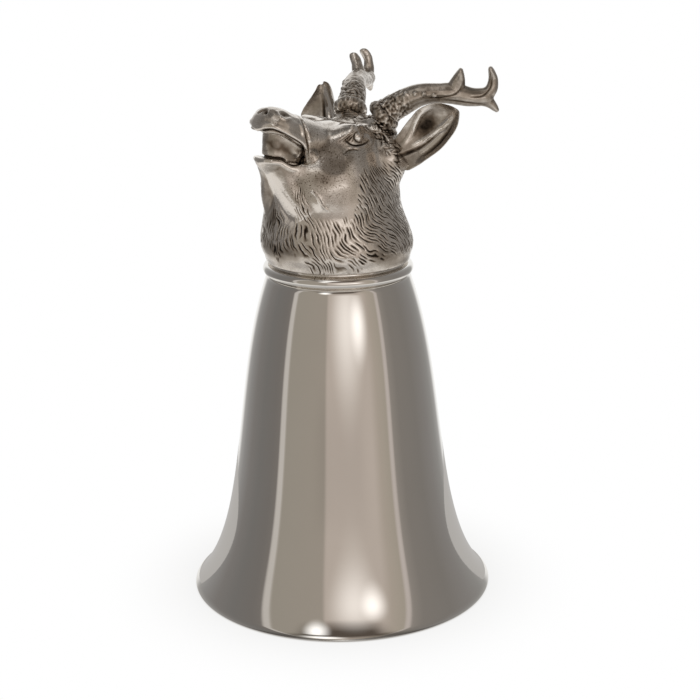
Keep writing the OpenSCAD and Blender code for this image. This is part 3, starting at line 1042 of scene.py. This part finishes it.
@dataclass
class StagHead:
    """Cast head and neck, chased by hand. Strokes lie in the photo's pixels, the rest in millimetres."""

    camera: PhotoCamera
    voxel: float = 0.19
    passes: int = 28
    kept_faces: float = 0.3
    hollow_gain: float = 0.16
    # Cheek that closes each corner of the mouth
    mouth_corner: Point = (7.2, -13.6, 121.6)
    corner_size: Point = (2.3, 2.1, 2.7)
    # Mouth, nose and muzzle
    upper_lip: Stroke = Stroke(
        ((253, 131), (266, 125.5), (283, 131), (297, 138.5), (304.5, 145), (307.5, 153), (305, 163)),
        width=5.0, rise=0.4, dark=-0.1)
    lip_edge: Stroke = Stroke(
        ((254, 136), (262, 131), (272.3, 129.6), (282.5, 133.4), (290, 137.7), (297.5, 142), (302.3, 146.2),
         (303.9, 151.6), (303, 158), (299.7, 163.4), (293.2, 165.3), (286.8, 162.3), (280.4, 159),
         (271.8, 158), (259, 155)), width=1.8, rise=-0.45, dark=0.6, taper=0)
    lower_lip: Stroke = Stroke(
        ((256, 161), (270, 162), (281, 163), (290, 168.5), (299, 169)), width=4.0, rise=0.3, dark=-0.1)
    muzzle_crease: Stroke = Stroke(
        ((296.5, 113.5), (301, 121), (305, 129.5), (306.5, 138), (308, 147), (308, 156)),
        width=1.7, rise=-0.45, dark=0.6)
    muzzle_ridge: Stroke = Stroke(
        ((294.5, 113), (299, 120.5), (302.5, 129), (304, 137)), width=2.6, rise=0.35, dark=-0.35)
    crease_ridge: Stroke = Stroke(
        ((299, 115), (304, 124), (308.2, 133.4), (310.5, 142)), width=2.6, rise=0.35, dark=-0.35)
    nostril: Spot = Spot((284.5, 114.4), (6.5, 3.2), turn=22, rise=-0.5, dark=0.35)
    nostril_rim: Stroke = Stroke(
        ((276.6, 110.5), (278, 114), (281, 117.6), (285.7, 119.6), (291, 118)),
        width=1.8, rise=0.35, dark=-0.5)
    far_nostril: Spot = Spot((265.5, 111.5), (3.2, 4.5), turn=20, rise=-0.7, dark=0.5)
    mouth_inside: Stroke = Stroke(
        ((262, 143), (275, 146), (290, 152), (298, 157)), width=11.0, rise=-0.6, dark=0.66, taper=0.2)
    nose_shade: Spot = Spot((274, 121), (34, 26), turn=20, dark=0.14)
    # Painted highlights on the tongue and inside the mouth, over slight swellings
    mouth_painted_highlights: tuple[Spot, ...] = tuple(
        Spot(at, (7, 5), turn=30, rise=0.2, dark=-0.25)
        for at in ((265, 146), (276, 145), (294, 151), (297.5, 155)))
    # Painted highlight: a streak of light on the upper lip above its edge, over a slight swelling
    lip_painted_highlight: Spot = Spot((274, 125.5), (6.5, 2.6), turn=25, rise=0.15, dark=-0.4)
    # Eye and brow. The upper lid runs round the ball between two turns, in degrees clockwise from the right
    eye_middle: Pair = (360.2, 136.6)
    socket_size: Pair = (13.0, 11.0)
    ball_size: Pair = (6.0, 5.6)
    lid_r: float = 5.8
    lid_turns: Pair = (60, 255)
    eye_hollow: Spot = Spot((348.5, 139), (9.5, 4.6), turn=-35, rise=-0.15, dark=0.55)
    eye_under: Stroke = Stroke(
        ((345, 140.5), (351.5, 144.6), (358, 145.6), (365, 143.6), (369.5, 140)),
        width=1.5, rise=-0.3, dark=0.8)
    eye_corner: tuple[Stroke, ...] = tuple(
        Stroke(wrinkle, width=0.9, rise=-0.1, dark=0.4)
        for wrinkle in (
            ((338.5, 142.2), (346, 136.5), (355.5, 130)), ((342.5, 142), (349.5, 136), (357, 131)),
            ((347, 142.6), (351, 138.2), (355, 134)), ((351.5, 143), (353.5, 139.5), (355, 136.5))))
    bag_crease: Stroke = Stroke(
        ((343.5, 155), (348, 150.7), (354, 149.6), (359, 150.4)), width=1.3, rise=-0.15, dark=0.55)
    # Painted highlights on the bag under the eye, over slight swellings
    bag_painted_highlights: tuple[Spot, ...] = tuple(
        Spot(at, (3.6, 1.8), turn=8, rise=0.2, dark=-0.4) for at in ((350, 147.4), (357, 148.2)))
    brow: Stroke = Stroke(
        ((338, 131.5), (348, 127), (359, 126), (368, 127.5)), width=4.5, rise=0.12, dark=0.1)
    # Raised edge of the forehead, with a painted highlight along it where overhead light reflects
    forehead_edge_painted_highlight: Stroke = Stroke(
        ((296, 112.6), (311.5, 117.2), (325, 121.2), (345, 124.8), (358, 126), (368, 126.4), (374, 128.5)),
        width=3.0, rise=0.4, dark=-0.8)
    # Cheek and jaw
    jaw_bevel: Stroke = Stroke(((274, 171), (285, 187), (296, 203), (306, 218)), width=13.0, rise=0.9)
    # Painted reflection: a bright band along the jaw's lower edge where it mirrors the white table
    jaw_painted_reflection: Stroke = Stroke(
        ((267, 173), (277, 190), (288, 207), (297, 220)), width=10.5, dark=-1.2, taper=0.25)
    jaw_under: Stroke = Stroke(
        ((272, 189), (276, 197), (283, 210), (291, 222)), width=3.0, rise=-0.2, dark=0.4)
    jaw_over: Stroke = Stroke(
        ((272, 172), (283, 187), (294, 203), (302, 216)), width=2.0, rise=-0.1, dark=0.2)
    jaw_plate: Stroke = Stroke(((314, 197), (319, 204), (323, 209)), width=9.0, rise=0.2, dark=-0.85)
    plate_edge: Stroke = Stroke(
        ((311, 190.5), (315.5, 194.5), (319.5, 200), (323, 206), (328, 211)),
        width=1.9, rise=0.5, dark=-0.9)
    cheek_hollow: Spot = Spot((333, 163), (15, 15), rise=-0.4, dark=0.1)
    cheek_swell: Spot = Spot((352, 184), (26, 24), rise=0.15)
    # Smoky patches: middle, half width and height, and how dark each is
    smoke: tuple[Spot, ...] = tuple(
        Spot((x, y), (half_w, half_h), rise=-0.1, dark=dark) for x, y, half_w, half_h, dark in (
            (322, 148, 18, 11, 0.4), (350, 158, 7, 9, 0.35), (342, 166, 14, 10, 0.35),
            (325, 179, 22, 14, 0.4), (300, 186, 12, 10, 0.2), (345, 196, 22, 12, 0.1),
            (375, 160, 9, 16, -0.15), (274, 171, 24, 12, 0.4), (388, 259, 30, 12, 0.5),
            (283, 254, 26, 14, 0.45), (326, 150, 20, 14, 0.1), (312, 158, 8, 9, 0.25)))
    # Speckled patches: middle, half width and height
    speckled: tuple[tuple[float, float, float, float], ...] = (
        (330, 168, 40, 44), (325, 138, 30, 18), (300, 190, 20, 20), (372, 150, 16, 26))
    # Painted shade on the right half of the throat, under the jaw: its darkness in the patina, and where it
    # begins and is full across, up and down it
    throat_painted_shade: float = 0.38
    throat_front: float = -8.0
    throat_edges: tuple[Pair, Pair] = ((0, -0.8), (-9, -6))
    throat_ends: tuple[Pair, Pair] = ((101, 105), (119, 116))
    # Radius of the neck, least radius of its outer skin, and how far above the fur that skin is worked
    neck_r: float = 19.0
    skin_r: float = 14.5
    fur_above: float = 2.0
    # Rows of the fur: their spacing, and half width and depth of each cut. The tone darkens all of the fur
    fur_spacing: float = 0.8
    fur_radius: float = 0.21
    fur_depth: float = 0.15
    fur_tone: float = 0.06
    # Length and reach of the rows' waves, and size and reach of the lumps that make them stray
    fur_wave: float = 12.0
    fur_sway: float = 0.35
    fur_strays: tuple[Pair, Pair] = ((5.0, 1.3), (1.7, 0.35))
    # Length of a lock, how uneven the rows' ends are and over what length they fade
    fur_lock: float = 5.0
    fur_edge: float = 2.4
    fur_fade: float = 1.5
    fur_seed: int = 14
    # By degrees round from the throat: top and foot of the fur, how far round it drifts for each step down
    # from the pivot below its highest top, and its patina
    fur_pivot: float = 14.0
    fur_top: Path = ((0, 111), (4, 108), (12, 104.5), (18, 104.5), (21, 115), (28, 115), (33, 108.5),
                     (40, 107.3), (55, 106.2), (65, 107.8), (69, 113), (72, 118), (85, 120), (120, 119),
                     (140, 121), (180, 124))
    fur_foot: Path = ((0, 94.5), (12, 97), (24, 97), (30, 91.8), (66, 91.8), (74, 95.5), (98, 96),
                      (108, 95), (140, 94), (180, 93.5))
    fur_drift: Path = ((0, 0.0), (18, 0.15), (30, 0.35), (50, 0.4), (70, 0.6), (100, 1.0), (130, 0.8),
                       (160, 0.35), (180, 0.0))
    fur_dark: Path = ((40, 0.8), (90, 1.1))
    # Curly hair: middle, half width and height of each patch, and how it lies in degrees below level
    tufts: tuple[tuple[float, float, float, float, float], ...] = (
        (380, 128, 10, 12, 45), (391, 138, 13, 14, 40), (362, 114, 24, 7, 10), (402, 155, 13, 9, 15))
    tuft_swell: float = 1.4
    tuft_rise: float = 0.9
    tuft_tone: float = 0.05
    tuft_hairs: int = 60
    tuft_seed: int = 23
    # One hair: its steps and their length, how far it strays and curls, its half width, depth and patina
    hair_steps: int = 4
    hair_step: float = 2.0
    hair_stray: float = 30.0
    hair_curl: float = 0.35
    hair_width: Pair = (0.9, 1.3)
    hair_depth: Pair = (0.1, 0.2)
    hair_dark: Pair = (0.25, 0.5)

    def build(self, pewter: bpy.types.Material) -> None:
        """Casts, chases and dresses the head.

        Args:
            pewter: Finish of the casting.
        """
        piece = solid_copy("head_casting", "stag_head")
        x, y, z = self.mouth_corner
        add_eggs(piece, self.corner_size, (x, y, z), (-x, y, z))
        even_skin(piece, self.voxel, self.passes)
        drop_crumbs(piece)
        relief = Relief(piece, self.camera)
        self.chase_muzzle(relief)
        self.chase_eye(relief)
        self.chase_cheek(relief)
        self.comb_fur(relief)
        self.curl_tufts(relief)
        relief.finish(self.hollow_gain)
        apply_modifier(piece, "DECIMATE", decimate_type="COLLAPSE", ratio=self.kept_faces)
        dress(piece, pewter, Slot.PEWTER, "head_casting")

    def chase_muzzle(self, relief: Relief) -> None:
        """Works the lips, the nostrils, the mouth and the crease behind the muzzle."""
        relief.work(self.upper_lip, self.lip_edge, self.lower_lip, self.muzzle_crease, self.muzzle_ridge,
                    self.crease_ridge, self.nostril, self.nostril_rim, self.far_nostril, self.mouth_inside,
                    self.nose_shade, *self.mouth_painted_highlights, self.lip_painted_highlight)

    def chase_eye(self, relief: Relief) -> None:
        """Works the eyeball, its lids, the wrinkled corner and the brow."""
        turns = np.radians(np.linspace(*self.lid_turns, 25))
        lid = np.stack([np.cos(turns), np.sin(turns)], axis=1) * self.lid_r + self.eye_middle
        relief.work(Spot(self.eye_middle, self.socket_size, rise=-0.3, dark=0.15),
                    Stroke(lid, width=1.5, rise=-0.25, dark=0.5, curved=False),
                    Spot(self.eye_middle, self.ball_size, rise=0.45, dark=-0.45),
                    self.eye_hollow, self.eye_under, *self.eye_corner, self.bag_crease, *self.bag_painted_highlights,
                    self.brow, self.forehead_edge_painted_highlight)

    def chase_cheek(self, relief: Relief) -> None:
        """Works the jaw's smooth band with a painted reflection along it, the plate, painted shade on the
        throat's right half and the smoky, speckled cheek.
        """
        relief.work(self.jaw_bevel, self.jaw_painted_reflection, self.jaw_under, self.jaw_over, self.jaw_plate,
                    self.plate_edge)
        # Painted shade: the right half of the throat, under the jaw, is set darker
        x, y, z = relief.co.T
        throat = (y < self.throat_front).astype(float)
        for places, limits in ((x, self.throat_edges), (z, self.throat_ends)):
            for begin, full in limits:
                throat *= ramp(places, begin, full)
        relief.patina_and_painted_light += (self.throat_painted_shade - relief.patina_and_painted_light) * throat
        relief.work(self.cheek_hollow, self.cheek_swell, *self.smoke)
        for middle_x, middle_y, half_w, half_h in self.speckled:
            away = (relief.marks - (middle_x, middle_y)) / (half_w, half_h)
            relief.speckle += relief.seen * np.clip(1.5 * (1 - np.sum(away ** 2, axis=1)), 0, 1)
        relief.speckle = np.clip(relief.speckle, 0, 1)

    def comb_fur(self, relief: Relief) -> None:
        """Cuts the neck's fur: fine wavy lines side by side, each broken into locks."""
        highest = max(z for _, z in self.fur_top)
        reach = np.linalg.norm(relief.co[:, :2], axis=1)
        chosen = np.flatnonzero((reach > self.skin_r) & (relief.co[:, 2] < highest + self.fur_above))
        skin = relief.left[chosen]
        around = np.degrees(np.arctan2(skin[:, 0], -skin[:, 1]))
        top, foot, drift, dark = (np.interp(around, *np.transpose(table)) for table in (
            self.fur_top, self.fur_foot, self.fur_drift, self.fur_dark))
        side = np.radians(around) * self.neck_r
        height = skin[:, 2]
        down = highest - height
        sway = np.sin(math.tau * (down + 0.25 * side) / self.fur_wave)
        ragged = sum(stray * relief.lumps(grain, chosen) for grain, stray in self.fur_strays)
        start = side - drift * (down - self.fur_pivot) + self.fur_sway * sway + ragged
        # Steeper fur is set wider at its start, so that its rows lie evenly
        turns = np.arange(-90, 361)
        steep = np.hypot(1, np.interp(turns, *np.transpose(self.fur_drift)))
        even = np.concatenate([[0], np.cumsum(1 / steep[1:])]) * math.radians(1) * self.neck_r
        across = np.interp(np.degrees(start / self.neck_r), turns, even) / self.fur_spacing
        row = np.floor(across).astype(int)
        draw = np.random.default_rng(self.fur_seed)
        shift, length, deep, early, late = (each[row] for each in draw.random((5, row.max() + 1)))
        aside = (across - row - 0.5 + 0.45 * (shift - 0.5)) * self.fur_spacing
        place = down * np.hypot(1, drift) / (self.fur_lock * (0.7 + 0.7 * length)) + 7 * shift
        share = place - np.floor(place)
        lock = ramp(share, 0.06, 0.26) * ramp(share, 0.9, 0.55)
        top = top + self.fur_edge * (early - 0.6)
        foot = foot + self.fur_edge * (late - 0.4)
        held = ramp(top - height, 0, self.fur_fade) * ramp(height - foot, 0, self.fur_fade)
        strength = lock ** 0.6 * held * (0.65 + 0.5 * deep)
        groove = np.clip(1 - (aside / self.fur_radius) ** 2, 0, 1) ** 1.5 * strength
        ridge = ramp(np.abs(aside), 0, self.fur_spacing / 2) * held
        relief.lift[chosen] += self.fur_depth * (0.3 * ridge - groove)
        relief.patina_and_painted_light[chosen] += dark * groove + self.fur_tone * held

    def curl_tufts(self, relief: Relief) -> None:
        """Cuts the curly hair round the antlers' and ears' roots."""
        draw = random.Random(self.tuft_seed)
        for middle_x, middle_y, half_w, half_h, lie in self.tufts:
            swell = (self.tuft_swell * half_w, self.tuft_swell * half_h)
            relief.work(Spot((middle_x, middle_y), swell, rise=self.tuft_rise, dark=self.tuft_tone))
            for _ in range(self.tuft_hairs):
                turn = draw.uniform(0, math.tau)
                reach = math.sqrt(draw.random())
                x = middle_x + half_w * reach * math.cos(turn)
                y = middle_y + half_h * reach * math.sin(turn)
                way = math.radians(lie + draw.uniform(-self.hair_stray, self.hair_stray))
                curl = draw.uniform(-self.hair_curl, self.hair_curl)
                points = [(x, y)]
                for _ in range(self.hair_steps):
                    x += self.hair_step * math.cos(way)
                    y += self.hair_step * math.sin(way)
                    way += curl
                    points.append((x, y))
                width = draw.uniform(*self.hair_width)
                depth = draw.uniform(*self.hair_depth)
                dark = draw.uniform(*self.hair_dark)
                relief.work(Stroke(tuple(points), width, -depth, dark, curved=False))


@dataclass
class Antlers:
    """Pair of cast antlers with rough burrs, pearled beams and smooth tines.

    Strokes lie in the photo's pixels, the rest in millimetres on the left antler.
    """

    camera: PhotoCamera
    voxel: float = 0.2
    passes: int = 12
    hollow_gain: float = 0.2
    # Middle of the burr, and how far from it the roughness and the thicker root begin and are full
    burr: Point = (8.0, 11.0, 130.5)
    burr_reach: Pair = (8.0, 4.0)
    burr_skin: Roughness = Roughness(grain=0.65, rise=0.3, dark=0.5)
    burr_tone: float = 0.1
    root_reach: Pair = (13.0, 6.0)
    root_swell: float = 0.6
    # Root of the middle tine, and how far and how much it is thickened
    tine_root: Point = (20.2, 23.9, 137.4)
    tine_reach: float = 4.5
    tine_swell: float = 0.8
    # Level way across the antler's plane, along which the tips are blunted above a height
    flat_way: Point = (0.73, -0.68, 0.0)
    blunt: float = 0.55
    blunt_z: Pair = (139.0, 141.0)
    # The rest of the skin: its lumps, how strong they are on each side and its patina there; the right
    # antler's lighter patina is partly a painted reflection
    skin: Roughness = Roughness(grain=1.2, rise=0.2, dark=0.4)
    skin_strength: dict[Side, float] = field(default_factory=lambda: {Side.LEFT: 0.15, Side.RIGHT: 0.4})
    tone: dict[Side, float] = field(default_factory=lambda: {Side.LEFT: 0.3, Side.RIGHT: 0.15})
    pearls: tuple[Spot, ...] = tuple(
        Spot(at, (3.2, 2.8), rise=0.4, dark=-0.3)
        for at in ((391, 107), (398, 98.5), (407, 94.8), (415.5, 93.8), (424, 93.8), (434, 95.5)))
    beam_hollow: Stroke = Stroke(
        ((398, 120), (408, 109), (422, 103.5), (440, 101)), width=6.5, rise=-0.5, dark=0.15)
    seams: tuple[Stroke, ...] = tuple(
        Stroke(seam, width=1.6, rise=-0.18, dark=0.3)
        for seam in (((436, 99), (452, 100.5), (470, 103), (486, 104.5)),
                     ((425, 97.5), (445, 97), (458, 92), (464, 80)),
                     ((470, 97), (482, 96), (490, 88), (492, 76))))

    def build(self, pewter: bpy.types.Material) -> None:
        """Casts, chases and dresses both antlers.

        Args:
            pewter: Finish of the castings.
        """
        for side in Side:
            node = f"antler_{side.value}"
            piece = solid_copy(node, f"stag_{node}")
            even_skin(piece, self.voxel, self.passes)
            relief = Relief(piece, self.camera)
            relief.work(*self.pearls, self.beam_hollow, *self.seams)
            root = np.linalg.norm(relief.left - self.burr, axis=1)
            rough = ramp(root, *self.burr_reach)
            relief.roughen(rough, self.burr_skin)
            relief.roughen(np.full(len(root), self.skin_strength[side]), self.skin)
            relief.lift += self.root_swell * ramp(root, *self.root_reach)
            self.shape_tines(relief, side)
            # Patina by side, lighter on the right antler as a partly painted reflection, and darker in the
            # rough burr
            relief.patina_and_painted_light += self.tone[side] + self.burr_tone * rough
            relief.finish(self.hollow_gain)
            dress(piece, pewter, Slot.PEWTER, node)

    def shape_tines(self, relief: Relief, side: Side) -> None:
        """Thickens the middle tine's root in the antler's plane, and blunts the tips across it.

        Args:
            relief: The antler's skin.
            side: Side that the antler is on.
        """
        flat = side.mirror() * self.flat_way
        broad = relief.normals @ flat
        tine = np.linalg.norm(relief.left - self.tine_root, axis=1)
        relief.lift += self.tine_swell * ramp(tine, self.tine_reach, 0) * (1 - np.abs(broad))
        tip = ramp(relief.co[:, 2], *self.blunt_z)
        relief.co += (self.blunt * tip * broad)[:, None] * flat


@dataclass
class Ears:
    """Pair of cast ears, cupped leaves with ridges inside. Sizes are in millimetres."""

    camera: PhotoCamera
    levels: int = 3
    passes: int = 8
    hollow_gain: float = 0.2
    # Root of the left ear on the head, and how far and in how many passes it melts into the leaf
    root_at: Point = (15.4, 9.0, 119.0)
    melt_reach: float = 8.0
    melt_passes: int = 90
    # What is left of the height of the knob at the root, and how far the root sinks into the head
    knob: float = 0.45
    sink: float = 3.2
    sink_reach: float = 6.5
    # Way that each ear points, and way that it faces
    ways: dict[Side, tuple[Point, Point]] = field(default_factory=lambda: {
        Side.LEFT: ((12.7, 8.1, 14.5), (0.25, -0.97, 0.0)),
        Side.RIGHT: ((-10.0, 5.2, 13.5), (0.3, -0.95, 0.0))})
    # Length up each ear, and how much wider its upper and its lower half are there than the plain leaf
    spread: dict[Side, tuple[Point, ...]] = field(default_factory=lambda: {
        Side.LEFT: ((0, 1.2, 0.6), (2, 1.3, 0.8), (4, 1.45, 0.95), (6.5, 1.35, 0.88), (9.4, 1.22, 0.83),
                    (11.6, 1.27, 0.82), (14.3, 1.23, 0.8), (17, 1.17, 0.83), (20, 0.85, 0.75)),
        Side.RIGHT: ((0, 1.0, 0.7), (10, 1.5, 0.7), (14.5, 1.6, 0.65), (16, 1.33, 0.75), (17.9, 0.72, 0.9),
                     (18.5, 0.5, 0.95), (20, 0.3, 1.0))})
    # Strokes inside the leaf lie along it from the root, and across it with the upper edge below nought
    ridges: tuple[Stroke, ...] = tuple(
        Stroke(ridge, width=1.1, rise=0.4, dark=-1.0, taper=1.0)
        for ridge in (((3.5, -1.2), (7.8, -0.7), (11.5, -0.3), (15.4, -0.1), (19.5, -0.1)),
                      ((4.5, 1.0), (9.3, 1.1), (14, 0.8))))
    furrows: tuple[Stroke, ...] = tuple(
        Stroke(furrow, width=0.8, rise=-0.3, dark=0.5, taper=1.0)
        for furrow in (((4.5, -0.1), (9.0, 0.1), (14, 0.2)), ((3, 2.0), (8.2, 2.7), (13.0, 2.3), (18, 1.0)),
                       ((-0.5, -1.8), (3.1, -0.6), (7.0, 0.3))))
    front_fold: Stroke = Stroke(
        ((2.0, -2.7), (6.1, -4.0), (9.1, -5.2), (12.0, -5.9), (16.0, -5.0)),
        width=0.9, rise=0.35, dark=-0.6, taper=1.0)
    hollow: Spot = Spot((10.4, -3.2), (5.8, 2.8), turn=-5, rise=-0.4, dark=0.6)
    # How squarely the skin must face out of the leaf before strokes take, and where they take fully
    inside: Pair = (0.2, 0.6)
    skin: Roughness = Roughness(grain=0.9, rise=0.1, dark=0.35)
    skin_strength: float = 0.2
    tone: float = 0.22
    root_tone: float = 0.15

    def build(self, pewter: bpy.types.Material) -> None:
        """Casts, chases and dresses both ears.

        Args:
            pewter: Finish of the castings.
        """
        for side in Side:
            node = f"ear_{side.value}"
            piece = solid_copy(node, f"stag_{node}")
            self.spread_leaf(piece, side)
            apply_modifier(piece, "SUBSURF", levels=self.levels, render_levels=self.levels)
            apply_modifier(piece, "SMOOTH", factor=0.5, iterations=self.passes)
            self.melt_root(piece)
            relief = Relief(piece, self.camera)
            along, aside, _ = self.leaf_marks(relief.co, side)
            relief.marks = np.stack([along, aside if side is Side.LEFT else -aside], axis=1)
            relief.seen = ramp(relief.normals @ self.axes(side)[2], *self.inside)
            relief.work(*self.ridges, *self.furrows, self.front_fold, self.hollow)
            relief.roughen(np.full(len(along), self.skin_strength), self.skin)
            relief.patina_and_painted_light += self.tone + self.root_tone * ramp(along, self.sink_reach, 0)
            relief.finish(self.hollow_gain)
            dress(piece, pewter, Slot.PEWTER, node)

    def axes(self, side: Side) -> tuple[np.ndarray, np.ndarray, np.ndarray]:
        """Returns the unit vectors along an ear, across it and out of its face."""
        axis, face = (np.array(way) / np.linalg.norm(way) for way in self.ways[side])
        out = face - axis * (face @ axis)
        out /= np.linalg.norm(out)
        return axis, np.cross(axis, out), out

    def leaf_marks(self, skin: np.ndarray, side: Side) -> list[np.ndarray]:
        """Measures points against an ear's own axes.

        Args:
            skin: Points in millimetres, one to a row.
            side: Side that the ear is on.

        Returns:
            Millimetres along the ear, across it and out of its face, from the root.
        """
        root = side.mirror() * self.root_at
        return [(skin - root) @ way for way in self.axes(side)]

    def spread_leaf(self, piece: bpy.types.Object, side: Side) -> None:
        """Draws a leaf out to the photographed edge, and lowers the round knob at its root.

        Args:
            piece: The ear.
            side: Side that the ear is on.
        """
        axis, wide, out = self.axes(side)
        skin = read_points(piece)
        along, aside, proud = self.leaf_marks(skin, side)
        up, upper, lower = np.transpose(self.spread[side])
        wider = np.where(aside < 0, np.interp(along, up, upper), np.interp(along, up, lower)) - 1
        leaf = along > 0
        skin += (leaf * aside * wider)[:, None] * wide
        skin -= (leaf * np.clip(proud, 0, None) * (1 - self.knob))[:, None] * out
        skin -= (leaf * self.sink * ramp(along, self.sink_reach, 0))[:, None] * axis
        write_points(piece, skin)

    def melt_root(self, piece: bpy.types.Object) -> None:
        """Smooths an ear's root until lump, stem and leaf are one form.

        Args:
            piece: The ear.
        """
        group = piece.vertex_groups.new(name="root")
        middle = Vector(self.root_at)
        for vertex in piece.data.vertices:
            place = Vector((abs(vertex.co.x), vertex.co.y, vertex.co.z)) / MM
            near = 1 - (place - middle).length / self.melt_reach
            if near > 0:
                group.add([vertex.index], min(2 * near, 1.0), "REPLACE")
        apply_modifier(piece, "SMOOTH", factor=0.5, iterations=self.melt_passes, vertex_group="root")


def main() -> None:
    """Builds the studio and every piece in order."""
    logging.basicConfig(level=logging.INFO, format="%(name)s: %(message)s")
    bpy.context.scene.view_settings.view_transform = "Standard"
    camera = PhotoCamera()
    camera.build()
    Studio(camera.azimuth).build()
    plate = MirrorPlate().build()
    pewter = AntiquedPewter().build()
    brass = TurnedBrass().build()
    Bell().build(plate)
    Collar().build(plate)
    StagHead(camera).build(pewter)
    Antlers(camera).build(pewter)
    Ears(camera).build(pewter)
    for node in ("neck_stud", "neck_plug"):
        inner = frame["nodes"][node]
        inner.data.materials.clear()
        inner.data.materials.append(brass)
        log.info("%s: kept as modelled, in turned brass", node)


if __name__ == "__main__":
    main()
